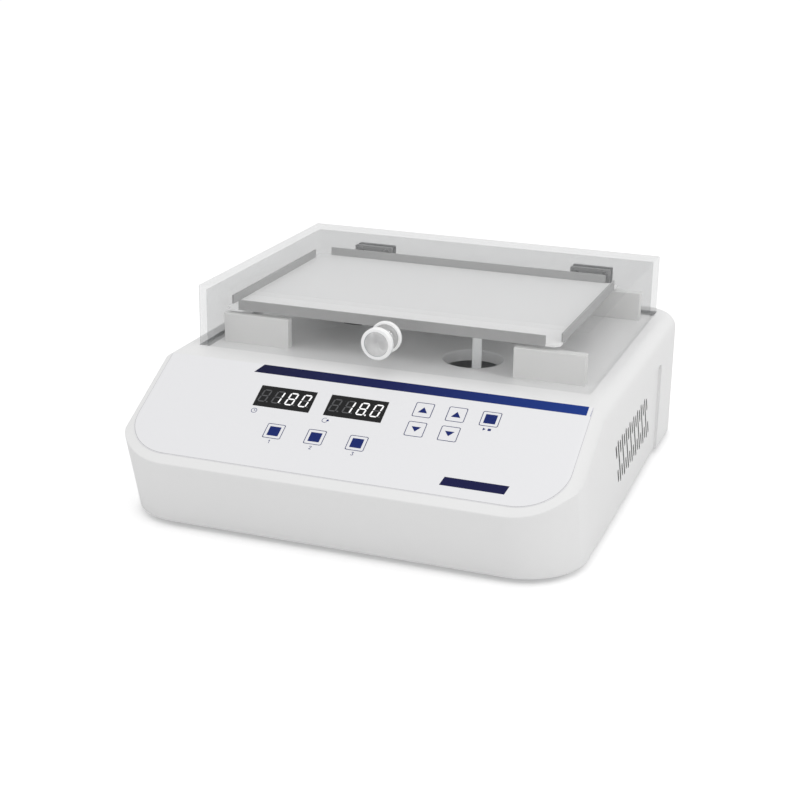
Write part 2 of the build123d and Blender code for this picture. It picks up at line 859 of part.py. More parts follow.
# Lid hinges: the leaf on the lid has the middle knuckle, the leaf on the deck the outer two
leaf_bottom = hinge_z - hinge_leaf_drop
leaf_height = deck_z + hinge_leaf_top - leaf_bottom
leaf_middle_z = leaf_bottom + leaf_height / 2
for name, side in (("hinge_lid_leaf_left", -1), ("hinge_lid_leaf_right", 1)):
    middle = side * hinge_offset
    with BuildPart() as lid_leaf:
        with BuildSketch(upright(lid_rear_y + hinge_leaf)):
            with Locations((middle, leaf_middle_z)):
                RectangleRounded(hinge_width, leaf_height, hinge_leaf_corner)
        extrude(amount=hinge_leaf)
        with BuildSketch(sideways(middle)):
            with Locations((hinge_y, hinge_z)):
                Circle(hinge_barrel_radius)
            web_start = lid_rear_y + hinge_leaf / 2
            with Locations(((web_start + hinge_y) / 2, hinge_z)):
                Rectangle(hinge_y - web_start, hinge_barrel_radius)
            with Locations((hinge_y, hinge_z)):
                Circle(hinge_pin_radius + running_fit, mode=Mode.SUBTRACT)
        extrude(amount=knuckle / 2 - part_gap / 2, both=True)
        with BuildSketch(upright(lid_rear_y + hinge_leaf + cut_past)):
            with Locations(*[p for p in lid_screw_places if p[0] * side > 0]):
                Circle(screw_radius + screw_fit)
        extrude(amount=hinge_leaf + 2 * cut_past, mode=Mode.SUBTRACT)
    finish(lid_leaf, name)

# Clamp plates inside the lid's rear wall, one for each hinge
with BuildPart() as hinge_clamps:
    with BuildSketch(upright(lid_rear_y - lid_wall)):
        with Locations(*[(side * hinge_offset, leaf_middle_z) for side in (-1, 1)]):
            RectangleRounded(hinge_width, leaf_height, hinge_leaf_corner)
        with Locations(*lid_screw_places):
            Circle(screw_radius + screw_fit, mode=Mode.SUBTRACT)
    extrude(amount=hinge_clamp)
finish(hinge_clamps, "hinge_clamps")

deck_leaf_front = lid_rear_y + hinge_leaf + part_gap
for name, side in (("hinge_deck_leaf_left", -1), ("hinge_deck_leaf_right", 1)):
    middle = side * hinge_offset
    with BuildPart() as deck_leaf:
        with BuildSketch(Plane.XY.offset(top_z)):
            with Locations((middle, deck_leaf_front + deck_leaf_run / 2)):
                Rectangle(hinge_width, deck_leaf_run)
            with Locations(*[p for p in deck_screw_places if p[0] * side > 0]):
                Circle(deck_screw_radius, mode=Mode.SUBTRACT)
        extrude(amount=deck_leaf_thickness)
        for x in (middle - knuckle, middle + knuckle):
            with BuildSketch(sideways(x)):
                with Locations((hinge_y, (hinge_z + top_z) / 2)):
                    Rectangle(2 * hinge_barrel_radius, hinge_z - top_z)
                with Locations((hinge_y, hinge_z)):
                    Circle(hinge_barrel_radius)
                with Locations((hinge_y, hinge_z)):
                    Circle(hinge_pin_radius, mode=Mode.SUBTRACT)
            extrude(amount=knuckle / 2 - part_gap / 2, both=True)
    finish(deck_leaf, name)

with BuildPart() as hinge_pins:
    for side in (-1, 1):
        with BuildSketch(sideways(side * hinge_offset)):
            with Locations((hinge_y, hinge_z)):
                Circle(hinge_pin_radius)
        extrude(amount=hinge_width / 2 + hinge_pin_overhang, both=True)
finish(hinge_pins, "hinge_pins")

with BuildPart() as lid_hinge_screws:
    with BuildSketch(upright(lid_rear_y + hinge_leaf)):
        with Locations(*lid_screw_places):
            Circle(screw_radius)
    extrude(amount=hinge_leaf + lid_wall + hinge_clamp)
    with BuildSketch(upright(lid_rear_y - lid_wall - hinge_clamp)):
        with Locations(*lid_screw_places):
            Circle(hinge_screw_head_radius)
    extrude(amount=hinge_screw_head)
finish(lid_hinge_screws, "lid_hinge_screws")

with BuildPart() as deck_hinge_screws:
    with BuildSketch(Plane.XY.offset(top_z + deck_leaf_thickness)):
        with Locations(*deck_screw_places):
            Circle(deck_screw_head_radius)
    extrude(amount=deck_screw_head)
    with BuildSketch(Plane.XY.offset(top_z + deck_leaf_thickness - deck_screw_length)):
        with Locations(*deck_screw_places):
            Circle(deck_screw_radius)
    extrude(amount=deck_screw_length)
finish(deck_hinge_screws, "deck_hinge_screws")


# Tray: white plate with open, chamfered corners and a grey rail along each side
side_rail_y = tray_y - (side_rail_rear_inset - rail_inset) / 2
side_rail_length = 2 * tray_half_depth - rail_inset - side_rail_rear_inset
with BuildPart() as tray:
    with BuildSketch(Plane.XY.offset(tray_z)):
        with Locations((tray_x, tray_y)):
            Rectangle(2 * tray_half_width, 2 * tray_half_depth)
        chamfer(vertices(), tray_chamfer)
        for side in (-1, 1):
            with Locations((tray_x, tray_y + side * (tray_half_depth - rail_thickness / 2))):
                Rectangle(2 * (tray_half_width - rail_inset), rail_thickness, mode=Mode.SUBTRACT)
            with Locations((tray_x + side * (tray_half_width - rail_thickness / 2), side_rail_y)):
                Rectangle(rail_thickness, side_rail_length, mode=Mode.SUBTRACT)
    extrude(amount=tray_plate)
finish(tray, "tray")

rail_x = tray_half_width - rail_thickness / 2
rail_y = tray_half_depth - rail_thickness / 2
long_rail = (2 * (tray_half_width - rail_inset), rail_thickness)
side_rail = (rail_thickness, side_rail_length)
for name, place, size in (
    ("tray_rail_front", (tray_x, tray_y - rail_y), long_rail),
    ("tray_rail_rear", (tray_x, tray_y + rail_y), long_rail),
    ("tray_rail_left", (tray_x - rail_x, side_rail_y), side_rail),
    ("tray_rail_right", (tray_x + rail_x, side_rail_y), side_rail),
):
    with BuildPart() as rail:
        with BuildSketch(Plane.XY.offset(tray_z)):
            with Locations(place):
                Rectangle(*size)
        extrude(amount=rail_height)
        fillet(rail.edges().group_by(Axis.Z)[-1], rail_edge)
    finish(rail, name)


# Support rods: flange under the tray, thin tail through the carriage, nut below
rod_screw_places = [
    (x + rod_screw_circle * cos(radians(90 + i * 360 / rod_screw_count)),
     y + rod_screw_circle * sin(radians(90 + i * 360 / rod_screw_count)))
    for x, y in rod_places
    for i in range(rod_screw_count)
]
with BuildPart() as tray_rods:
    with BuildSketch(Plane.XY.offset(tray_z - rod_flange)):
        with Locations(*rod_places):
            Circle(rod_flange_radius)
        with Locations(*rod_screw_places):
            Circle(rod_screw_radius, mode=Mode.SUBTRACT)
    extrude(amount=rod_flange)
    with BuildSketch(Plane.XY.offset(carriage_top)):
        with Locations(*rod_places):
            Circle(rod_radius)
    extrude(amount=tray_z - carriage_top)
    with BuildSketch(Plane.XY.offset(carriage_z - rod_nut_height - rod_tail_end)):
        with Locations(*rod_places):
            Circle(rod_tail_radius)
    extrude(amount=carriage_thickness + rod_nut_height + rod_tail_end)
finish(tray_rods, "tray_rods")

with BuildPart() as rod_flange_screws:
    with BuildSketch(Plane.XY.offset(tray_z - rod_flange - rod_screw_head)):
        with Locations(*rod_screw_places):
            Circle(rod_screw_head_radius)
    extrude(amount=rod_screw_head)
    with BuildSketch(Plane.XY.offset(tray_z - rod_flange)):
        with Locations(*rod_screw_places):
            Circle(rod_screw_radius)
    extrude(amount=rod_flange)
finish(rod_flange_screws, "rod_flange_screws")

with BuildPart() as rod_nuts:
    with BuildSketch(Plane.XY.offset(carriage_z - rod_nut_height)):
        with Locations(*rod_places):
            RegularPolygon(rod_nut_radius, 6)
        with Locations(*rod_places):
            Circle(rod_tail_radius, mode=Mode.SUBTRACT)
    extrude(amount=rod_nut_height)
finish(rod_nuts, "rod_nuts")


# Carriage plate: carries the rods and turns round the three crank pins
pin_places = [(x + crank_shift[0], y + crank_shift[1]) for x, y in ((orbit_x, orbit_y),) + idler_places]
with BuildPart() as carriage:
    with BuildSketch(Plane.XY.offset(carriage_z)):
        with Locations(*rod_places, *pin_places[1:]):
            Circle(carriage_margin)
        make_hull()
        with Locations(*pin_places):
            Circle(small_bearing_radius, mode=Mode.SUBTRACT)
        with Locations(*rod_places):
            Circle(rod_tail_radius, mode=Mode.SUBTRACT)
    extrude(amount=carriage_thickness)
    with BuildSketch(Plane.XY.offset(carriage_z)):
        with Locations(*[(tray_x + x, tray_y + y) for x, y in carriage_window_places]):
            Circle(carriage_window_radius)
    extrude(amount=carriage_thickness, mode=Mode.SUBTRACT)
finish(carriage, "carriage")

with BuildPart() as carriage_bearings:
    with BuildSketch(Plane.XY.offset(carriage_z)):
        with Locations(*pin_places):
            Circle(small_bearing_radius)
        with Locations(*pin_places):
            Circle(pin_radius + running_fit, mode=Mode.SUBTRACT)
    extrude(amount=small_bearing_width)
finish(carriage_bearings, "carriage_bearings")


# Main crank on its vertical shaft
with BuildPart() as main_crank:
    with BuildSketch(Plane.XY.offset(base_top + shaft_foot)):
        with Locations((orbit_x, orbit_y)):
            Circle(crank_shaft_radius)
    extrude(amount=crank_disc_z - base_top - shaft_foot)
    with BuildSketch(Plane.XY.offset(crank_disc_z)):
        with Locations((orbit_x, orbit_y)):
            Circle(crank_disc_radius)
    extrude(amount=crank_disc_top - crank_disc_z)
    chamfer(main_crank.edges().group_by(Axis.Z)[-1], crank_edge)
    with BuildSketch(Plane.XY.offset(crank_disc_top)):
        with Locations(pin_places[0]):
            Circle(pin_radius + pin_spacer)
    extrude(amount=carriage_z - crank_disc_top - part_gap)
    with BuildSketch(Plane.XY.offset(crank_disc_top)):
        with Locations(pin_places[0]):
            Circle(pin_radius)
    extrude(amount=pin_top - crank_disc_top)
finish(main_crank, "main_crank")


# Counterweight: a heavy half disc opposite the crank pin
pin_way = (cos(radians(crank_angle)), sin(radians(crank_angle)), 0)
with BuildPart() as counterweight:
    with BuildSketch(Plane(origin=(orbit_x, orbit_y, counterweight_z), x_dir=pin_way)):
        Circle(counterweight_radius)
        with Locations((counterweight_radius, 0)):
            Rectangle(
                2 * (counterweight_radius - counterweight_flat), 4 * counterweight_radius,
                mode=Mode.SUBTRACT,
            )
        Circle(crank_shaft_radius + counterweight_hub)
        Circle(crank_shaft_radius, mode=Mode.SUBTRACT)
    extrude(amount=crank_disc_z - counterweight_z)
finish(counterweight, "counterweight")


def flanged_pulley(place, radius):
    """belt pulley with a flange on each side"""
    with BuildPart() as pulley:
        with BuildSketch(Plane.XY.offset(pulley_z)):
            with Locations(place):
                Circle(radius)
        extrude(amount=pulley_height)
        for z in (pulley_z, pulley_z + pulley_height - pulley_flange):
            with BuildSketch(Plane.XY.offset(z)):
                with Locations(place):
                    Circle(radius + pulley_flange_rise)
            extrude(amount=pulley_flange)
    return pulley.part


# Driven pulley: hub on the crank shaft, lightened by six windows
driven_form = flanged_pulley((orbit_x, orbit_y), driven_radius)
with BuildPart() as driven_pulley:
    add(driven_form)
    with BuildSketch(Plane.XY.offset(pulley_z - pulley_hub)):
        with Locations((orbit_x, orbit_y)):
            Circle(crank_shaft_radius + pulley_hub_wall)
    extrude(amount=pulley_hub)
    with BuildSketch(Plane.XY.offset(pulley_z - pulley_hub)):
        with Locations((orbit_x, orbit_y)):
            Circle(crank_shaft_radius)
            with PolarLocations(pulley_window_circle, pulley_window_count):
                Circle(pulley_window_radius)
    extrude(amount=pulley_height + pulley_hub, mode=Mode.SUBTRACT)
finish(driven_pulley, "driven_pulley")


# Main bearing post with its two bearings
post_top = pulley_z - pulley_hub - part_gap
with BuildPart() as main_post:
    with BuildSketch(Plane.XY.offset(base_top)):
        with Locations((orbit_x, orbit_y)):
            Circle(post_flange_radius)
    extrude(amount=post_flange)
    with BuildSketch(Plane.XY.offset(base_top)):
        with Locations((orbit_x, orbit_y)):
            Circle(post_radius)
    extrude(amount=post_top - base_top)
    with BuildSketch(Plane.XY.offset(base_top + bearing_seat)):
        with Locations((orbit_x, orbit_y)):
            Circle(main_bearing_radius)
    extrude(amount=post_top - base_top - bearing_seat, mode=Mode.SUBTRACT)
finish(main_post, "main_post")

with BuildPart() as main_bearings:
    for z in (base_top + bearing_seat, post_top - main_bearing_width):
        with BuildSketch(Plane.XY.offset(z)):
            with Locations((orbit_x, orbit_y)):
                Circle(main_bearing_radius)
            with Locations((orbit_x, orbit_y)):
                Circle(crank_shaft_radius + running_fit, mode=Mode.SUBTRACT)
        extrude(amount=main_bearing_width)
finish(main_bearings, "main_bearings")


# Idler cranks keep the carriage from turning, each in its own post
for name, place, pin in (
    ("idler_crank_right", idler_places[0], pin_places[1]),
    ("idler_crank_left", idler_places[1], pin_places[2]),
):
    with BuildPart() as idler_crank:
        with BuildSketch(Plane.XY.offset(idler_post_top - idler_bearing_span)):
            with Locations(place):
                Circle(pin_radius)
        extrude(amount=crank_disc_z - idler_post_top + idler_bearing_span)
        with BuildSketch(Plane.XY.offset(crank_disc_z)):
            with Locations(place):
                Circle(idler_disc_radius)
        extrude(amount=crank_disc_top - crank_disc_z)
        chamfer(idler_crank.edges().group_by(Axis.Z)[-1], crank_edge)
        with BuildSketch(Plane.XY.offset(crank_disc_top)):
            with Locations(pin):
                Circle(pin_radius + pin_spacer)
        extrude(amount=carriage_z - crank_disc_top - part_gap)
        with BuildSketch(Plane.XY.offset(crank_disc_top)):
            with Locations(pin):
                Circle(pin_radius)
        extrude(amount=pin_top - crank_disc_top)
    finish(idler_crank, name)

with BuildPart() as idler_posts:
    with BuildSketch(Plane.XY.offset(base_top)):
        with Locations(*idler_places):
            Circle(idler_post_radius + idler_flange_run)
    extrude(amount=post_flange)
    with BuildSketch(Plane.XY.offset(base_top)):
        with Locations(*idler_places):
            Circle(idler_post_radius)
    extrude(amount=idler_post_top - base_top)
    with BuildSketch(Plane.XY.offset(idler_post_top - idler_bearing_span)):
        with Locations(*idler_places):
            Circle(small_bearing_radius)
    extrude(amount=idler_bearing_span, mode=Mode.SUBTRACT)
finish(idler_posts, "idler_posts")

with BuildPart() as idler_bearings:
    for z in (idler_post_top - idler_bearing_span, idler_post_top - small_bearing_width):
        with BuildSketch(Plane.XY.offset(z)):
            with Locations(*idler_places):
                Circle(small_bearing_radius)
            with Locations(*idler_places):
                Circle(pin_radius + running_fit, mode=Mode.SUBTRACT)
        extrude(amount=small_bearing_width)
finish(idler_bearings, "idler_bearings")


# Motor under its bracket, held by four screws
with BuildPart() as motor_bracket:
    with BuildSketch(Plane.XY.offset(motor_top)):
        with Locations((motor_x, motor_y)):
            Rectangle(2 * bracket_half, 2 * bracket_half)
            Circle(motor_boss_radius + screw_clearance, mode=Mode.SUBTRACT)
            with GridLocations(motor_screw_pitch, motor_screw_pitch, 2, 2):
                Circle(motor_screw_radius, mode=Mode.SUBTRACT)
    extrude(amount=bracket_thickness)
    for side in (-1, 1):
        with BuildSketch(Plane.XY.offset(base_top)):
            with Locations((motor_x + side * (bracket_half - bracket_thickness / 2), motor_y)):
                Rectangle(bracket_thickness, 2 * bracket_half)
        extrude(amount=motor_top - base_top)
        with BuildSketch(Plane.XY.offset(base_top)):
            with Locations((motor_x + side * (bracket_half + bracket_foot / 2), motor_y)):
                Rectangle(bracket_foot, 2 * bracket_half)
        extrude(amount=bracket_thickness)
finish(motor_bracket, "motor_bracket")

with BuildPart() as motor:
    with BuildSketch(Plane.XY.offset(base_top + motor_floor_gap)):
        with Locations((motor_x, motor_y)):
            RectangleRounded(motor_size, motor_size, motor_corner)
            with GridLocations(motor_screw_pitch, motor_screw_pitch, 2, 2):
                Circle(motor_screw_radius, mode=Mode.SUBTRACT)
    extrude(amount=motor_top - base_top - motor_floor_gap)
    with BuildSketch(Plane.XY.offset(motor_top)):
        with Locations((motor_x, motor_y)):
            Circle(motor_boss_radius)
    extrude(amount=motor_boss)
finish(motor, "motor")

with BuildPart() as motor_screws:
    with BuildSketch(Plane.XY.offset(motor_top - motor_screw_bite)):
        with Locations((motor_x, motor_y)):
            with GridLocations(motor_screw_pitch, motor_screw_pitch, 2, 2):
                Circle(motor_screw_radius)
    extrude(amount=bracket_thickness + motor_screw_bite)
    with BuildSketch(Plane.XY.offset(motor_top + bracket_thickness)):
        with Locations((motor_x, motor_y)):
            with GridLocations(motor_screw_pitch, motor_screw_pitch, 2, 2):
                Circle(motor_screw_head_radius)
    extrude(amount=motor_screw_head)
finish(motor_screws, "motor_screws")

motor_pulley_form = flanged_pulley((motor_x, motor_y), motor_pulley_radius)
with BuildPart() as motor_pulley:
    add(motor_pulley_form)
    shaft_start = motor_top + motor_boss + screw_clearance
    with BuildSketch(Plane.XY.offset(shaft_start)):
        with Locations((motor_x, motor_y)):
            Circle(motor_shaft_radius)
    extrude(amount=pulley_z + pulley_height + motor_shaft_end - shaft_start)
finish(motor_pulley, "motor_pulley")


# Drive belt round the two pulleys
belt_z = pulley_z + pulley_flange + belt_side_gap
belt_width = pulley_height - 2 * pulley_flange - 2 * belt_side_gap
with BuildPart() as belt:
    for reach, mode in ((part_gap + belt_thickness, Mode.ADD), (part_gap, Mode.SUBTRACT)):
        with BuildSketch(Plane.XY.offset(belt_z)):
            with Locations((orbit_x, orbit_y)):
                Circle(driven_radius + reach)
            with Locations((motor_x, motor_y)):
                Circle(motor_pulley_radius + reach)
            make_hull()
        extrude(amount=belt_width, mode=mode)
finish(belt, "belt")


# Power inlet with its switch frame in the rear wall
inlet_face = rear_y + inlet_flange
with BuildPart() as power_inlet:
    with BuildSketch(upright(inlet_face)):
        with Locations((inlet_x, inlet_z)):
            RectangleRounded(inlet_width, inlet_height, inlet_corner)
    extrude(amount=inlet_flange)
    with BuildSketch(upright(rear_y)):
        with Locations((inlet_x, inlet_z)):
            Rectangle(
                inlet_width - 2 * inlet_margin[0] - 2 * base_clear,
                inlet_height - 2 * inlet_margin[1] - 2 * base_clear,
            )
    extrude(amount=inlet_depth)
    with BuildSketch(upright(inlet_face)):
        with Locations((inlet_x + socket_x, inlet_z)):
            RectangleRounded(socket_width, socket_height, socket_corner)
            with Locations(*socket_pin_places):
                Rectangle(*socket_pin, mode=Mode.SUBTRACT)
    extrude(amount=socket_depth, mode=Mode.SUBTRACT)
    with BuildSketch(upright(inlet_face)):
        with Locations((rocker_x, inlet_z)):
            Rectangle(*rocker_hole)
    extrude(amount=rocker_hole_depth, mode=Mode.SUBTRACT)
finish(power_inlet, "power_inlet")


# Switch rocker: a shallow V across the pivot, modelled with its upper half pressed in
rocker_pivot_y = inlet_face - rocker_reach - part_gap
tilt = radians(rocker_tilt)
rocker_outline = [
    (rocker_reach + rocker_half * tan(tilt), -rocker_half),
    (rocker_reach, 0),
    (rocker_reach + rocker_half * tan(tilt), rocker_half),
    (-rocker_back, rocker_back_half),
    (-rocker_back, -rocker_back_half),
]
with BuildPart() as switch_rocker:
    with BuildSketch(sideways(rocker_x)):
        with BuildLine():
            Polyline(*[
                (rocker_pivot_y + y * cos(tilt) - z * sin(tilt), inlet_z + y * sin(tilt) + z * cos(tilt))
                for y, z in rocker_outline
            ], close=True)
        make_face()
    extrude(amount=rocker_hole[0] / 2 - base_clear, both=True)
finish(switch_rocker, "switch_rocker")


# Power board on its pillars, with its transformer and capacitors
with BuildPart() as power_board:
    with BuildSketch(Plane.XY.offset(base_top)):
        with Locations(power_board_place):
            with GridLocations(*power_pillar_pitch, 2, 2):
                Circle(pillar_radius)
    extrude(amount=power_pillar_height)
    with BuildSketch(Plane.XY.offset(base_top + power_pillar_height)):
        with Locations(power_board_place):
            Rectangle(*power_board_size)
    extrude(amount=board_thickness)
    with BuildSketch(Plane.XY.offset(base_top + power_pillar_height + board_thickness)):
        with Locations(power_board_place):
            with Locations(transformer_offset):
                Rectangle(*transformer_size)
            with Locations(*capacitor_offsets):
                Circle(capacitor_radius)
    extrude(amount=power_part_height)
finish(power_board, "power_board")
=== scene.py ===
from math import atan2, cos, radians, sin

import bmesh
import bpy
import numpy as np
from mathutils import Matrix, Vector


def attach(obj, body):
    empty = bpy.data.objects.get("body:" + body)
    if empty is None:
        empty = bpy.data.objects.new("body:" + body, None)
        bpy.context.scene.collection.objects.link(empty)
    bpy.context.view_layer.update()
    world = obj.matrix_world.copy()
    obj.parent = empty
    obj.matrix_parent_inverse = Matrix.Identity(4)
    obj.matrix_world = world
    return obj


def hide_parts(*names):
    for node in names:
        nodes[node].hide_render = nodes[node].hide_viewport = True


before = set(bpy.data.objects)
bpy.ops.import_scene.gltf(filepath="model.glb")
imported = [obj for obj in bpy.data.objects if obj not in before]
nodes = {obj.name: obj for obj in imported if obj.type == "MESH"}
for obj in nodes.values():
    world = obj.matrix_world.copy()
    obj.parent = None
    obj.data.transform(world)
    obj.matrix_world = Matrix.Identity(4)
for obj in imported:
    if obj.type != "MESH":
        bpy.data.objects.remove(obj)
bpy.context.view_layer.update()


# Housing: one glossy white ABS moulding, slanted at the front for the keys, recessed on top for
# the lid. It is screwed to the steel base from below.
def srgb(code):
    """linear colour of an sRGB hex code, by the standard curve on each channel"""
    c = np.array([int(code[i:i + 2], 16) for i in (1, 3, 5)]) / 255
    linear = np.where(c <= 0.04045, c / 12.92, ((c + 0.055) / 1.055) ** 2.4)
    return (*linear.tolist(), 1.0)


def add_node(material, kind, inputs=None, **settings):
    """one shader node with its settings; inputs are values or the sockets that feed them"""
    tree = material.node_tree
    node = tree.nodes.new(kind)
    for name, value in settings.items():
        setattr(node, name, value)
    for name, value in (inputs or {}).items():
        if isinstance(value, bpy.types.NodeSocket):
            tree.links.new(value, node.inputs[name])
        else:
            node.inputs[name].default_value = value
    return node


def surface(name, colour, roughness, metallic=0.0, grain_mm=0.6, grain_depth_mm=0.004, ior=1.5, **more):
    """a material with a fine grain: noise of a real size in mm raises the surface by a real depth"""
    material = bpy.data.materials.new(name)
    material.use_nodes = True
    material.node_tree.nodes.clear()
    place = add_node(material, "ShaderNodeTexCoord")
    grain = add_node(
        material, "ShaderNodeTexNoise",
        {"Vector": place.outputs["Object"], "Scale": 1000 / grain_mm, "Detail": 2.0},
    )
    bump = add_node(
        material, "ShaderNodeBump",
        {"Height": grain.outputs["Fac"], "Strength": 1.0, "Distance": grain_depth_mm / 1000},
    )
    shader = add_node(
        material, "ShaderNodeBsdfPrincipled",
        {"Base Color": srgb(colour), "Roughness": roughness, "Normal": bump.outputs["Normal"]},
    )
    if metallic:
        shader.inputs["Metallic"].default_value = metallic
    else:
        shader.inputs["IOR"].default_value = ior
    for socket, value in more.items():
        shader.inputs[socket.replace("_", " ")].default_value = value
    add_node(material, "ShaderNodeOutputMaterial", {"Surface": shader.outputs["BSDF"]})
    return material


def dress(material, slot, *names):
    """gives CAD nodes their material; the slot argument is not used"""
    for name in names:
        nodes[name].data.materials.clear()
        nodes[name].data.materials.append(material)


def smooth_copy(name, body, material, angle=32):
    """the CAD node's mesh with its corners merged and its gentle edges shaded as one curve"""
    mesh = nodes[name].data.copy()
    work = bmesh.new()
    work.from_mesh(mesh)
    bmesh.ops.remove_doubles(work, verts=work.verts, dist=1e-6)
    for face in work.faces:
        face.smooth = True
    for edge in work.edges:
        edge.smooth = len(edge.link_faces) == 2 and edge.calc_face_angle(0) < radians(angle)
    work.to_mesh(mesh)
    work.free()
    mesh.materials.clear()
    mesh.materials.append(material)
    piece = bpy.data.objects.new(name + "_shown", mesh)
    bpy.context.scene.collection.objects.link(piece)
    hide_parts(name)
    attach(piece, body)
    return piece


# moulded ABS with a light polish; the walls of the vent slots get a darker grey, painted shade that stands
# in for the shade in the slots
housing_abs = surface("moulded ABS", "#ececec", 0.32, grain_mm=0.8, grain_depth_mm=0.002)
slot_painted_shade = surface("moulded ABS with painted slot shade", "#8d8d8d", 0.6, grain_mm=0.8, grain_depth_mm=0.002)
# where the slots lie in metres: through the side walls, along the vents and up them
SLOT_DEPTHS = (0.186, 0.1945)
SLOT_LENGTHS = (-0.07, 0.1)
SLOT_HEIGHTS = (0.02, 0.09)
FACING_OUT = 0.5
shell = smooth_copy("housing", "base", housing_abs)
shell.data.materials.append(slot_painted_shade)
# faces on the walls of the vent slots take the painted shade
for face in shell.data.polygons:
    x, y, z = face.center
    in_wall = SLOT_DEPTHS[0] < abs(x) < SLOT_DEPTHS[1]
    in_vent = SLOT_LENGTHS[0] < y < SLOT_LENGTHS[1] and SLOT_HEIGHTS[0] < z < SLOT_HEIGHTS[1]
    face.material_index = int(in_wall and in_vent and abs(face.normal.x) < FACING_OUT)


# Base: a zinc plated steel plate that closes the housing from below and carries the drive. It is
# held by screws and stands on moulded rubber feet.
zinc_plate = surface("zinc plated steel", "#a9adb0", 0.42, metallic=1.0, grain_mm=1.5)
dress(zinc_plate, "base_steel", "base_plate", "motor_bracket")
screw_steel = surface("bright screw steel", "#c4c4c6", 0.28, metallic=1.0, grain_mm=0.5)
dress(
    screw_steel, "steel_screw",
    "base_screws", "board_screws", "lid_hinge_screws", "deck_hinge_screws", "rod_flange_screws",
    "motor_screws", "rod_nuts", "knob_screw", "hinge_pins",
)
foot_rubber = surface("moulded black rubber", "#1b1b1b", 0.8, grain_mm=0.5, grain_depth_mm=0.01)
dress(foot_rubber, "foot_rubber", "feet")


# Panel film: a polyester sheet printed from behind and stuck to the slanted panel. It runs a
# little way onto the rounded sides of the housing.
film_sheet = surface("polyester film", "#ececee", 0.3, grain_mm=0.3, grain_depth_mm=0.0008)
smooth_copy("panel_film", "base", film_sheet)
# sizes in mm: where the panel starts, how steep it is, its film and its rounded sides
FRONT_Y = -212.7
SKIRT_Z = 62.7
PANEL_RISE = 57.5
PANEL_RUN = 106.7
SLOPE = atan2(PANEL_RISE, PANEL_RUN)
FILM = 0.4
EDGE_RADIUS = 13.0
HALF_WIDTH = 195.0
INK = 0.04


def on_panel(u, t, rise):
    """points in metres from mm: u across, t up the slant and rise above the film. Beyond the flat
    width they follow the round edge: its radius less the root of radius squared less over squared"""
    over = np.clip(np.abs(u) - (HALF_WIDTH - EDGE_RADIUS), 0, EDGE_RADIUS)
    radius = EDGE_RADIUS + FILM
    height = rise + FILM - (radius - np.sqrt(radius ** 2 - over ** 2))
    y = FRONT_Y + t * cos(SLOPE) - height * sin(SLOPE)
    z = SKIRT_Z + t * sin(SLOPE) + height * cos(SLOPE)
    return np.stack([u + 0 * t, y, z], axis=-1) / 1000


def add_print(name, points, faces, material, body):
    """a printed layer: flat faces on the film that get the ink's depth and ride on a body"""
    mesh = bpy.data.meshes.new(name)
    mesh.from_pydata(points.reshape(-1, 3).tolist(), [], faces)
    mesh.materials.append(material)
    mesh.update()
    piece = bpy.data.objects.new(name, mesh)
    bpy.context.scene.collection.objects.link(piece)
    depth = piece.modifiers.new("ink", "SOLIDIFY")
    depth.thickness = INK / 1000
    depth.offset = -1
    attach(piece, body)


def printed(name, shapes, material, body):
    """flat print in which each shape is an array of (u, t) corners, laid on the film"""
    corners = np.concatenate(shapes)
    ends = np.cumsum([len(shape) for shape in shapes])
    faces = [list(range(end - len(shape), end)) for shape, end in zip(shapes, ends)]
    add_print(name, on_panel(corners[:, 0], corners[:, 1], INK), faces, material, body)


# Printed band: screen ink that fades from near-black navy on the left to royal blue on the right,
# with a slanted left end. It is divided finely so that it follows the film's rounded side.
def ink(name, stops, from_mm, to_mm):
    """printing ink whose colour runs along X between two places in mm"""
    material = surface(name, stops[0][1], 0.5, grain_mm=0.3, grain_depth_mm=0.0005, Specular_IOR_Level=0.08)
    place = add_node(material, "ShaderNodeTexCoord")
    split = add_node(material, "ShaderNodeSeparateXYZ", {"Vector": place.outputs["Object"]})
    along = add_node(
        material, "ShaderNodeMapRange",
        {"Value": split.outputs["X"], "From Min": from_mm / 1000, "From Max": to_mm / 1000},
    )
    ramp = add_node(material, "ShaderNodeValToRGB", {"Fac": along.outputs["Result"]})
    stripe = ramp.color_ramp
    stripe.elements[0].position, stripe.elements[0].color = stops[0][0], srgb(stops[0][1])
    stripe.elements[1].position, stripe.elements[1].color = stops[-1][0], srgb(stops[-1][1])
    for position, colour in stops[1:-1]:
        stripe.elements.new(position).color = srgb(colour)
    shader = next(n for n in material.node_tree.nodes if n.type == "BSDF_PRINCIPLED")
    material.node_tree.links.new(ramp.outputs["Color"], shader.inputs["Base Color"])
    return material


def grid_faces(rows, columns):
    """quads between neighbours on a grid of rows x columns points"""
    index = np.arange(rows * columns).reshape(rows, columns)
    quads = np.stack([index[:-1, :-1], index[:-1, 1:], index[1:, 1:], index[1:, :-1]], axis=-1)
    return quads.reshape(-1, 4).tolist()


BAND_STOPS = [(0, "#191a3a"), (0.45, "#1b2359"), (1, "#1d3b8a")]
FADE_FROM_MM = -104
FADE_TO_MM = 185
band_ink = ink("navy to blue ink", BAND_STOPS, FADE_FROM_MM, FADE_TO_MM)
BAND_U = (-104.5, 185.0)
BAND_T = (111.0, 120.6)
BAND_LEAN = 6.0
BAND_ROWS = 3
BAND_COLUMNS = 80
share_u, share_t = np.meshgrid(np.linspace(0, 1, BAND_COLUMNS), np.linspace(0, 1, BAND_ROWS))
band_left = BAND_U[0] + BAND_LEAN * share_t
band_u = band_left + (BAND_U[1] - band_left) * share_u
band_t = BAND_T[0] + (BAND_T[1] - BAND_T[0]) * share_t
band_faces = grid_faces(BAND_ROWS, BAND_COLUMNS)
add_print("panel_band", on_panel(band_u, band_t, INK), band_faces, band_ink, "base")


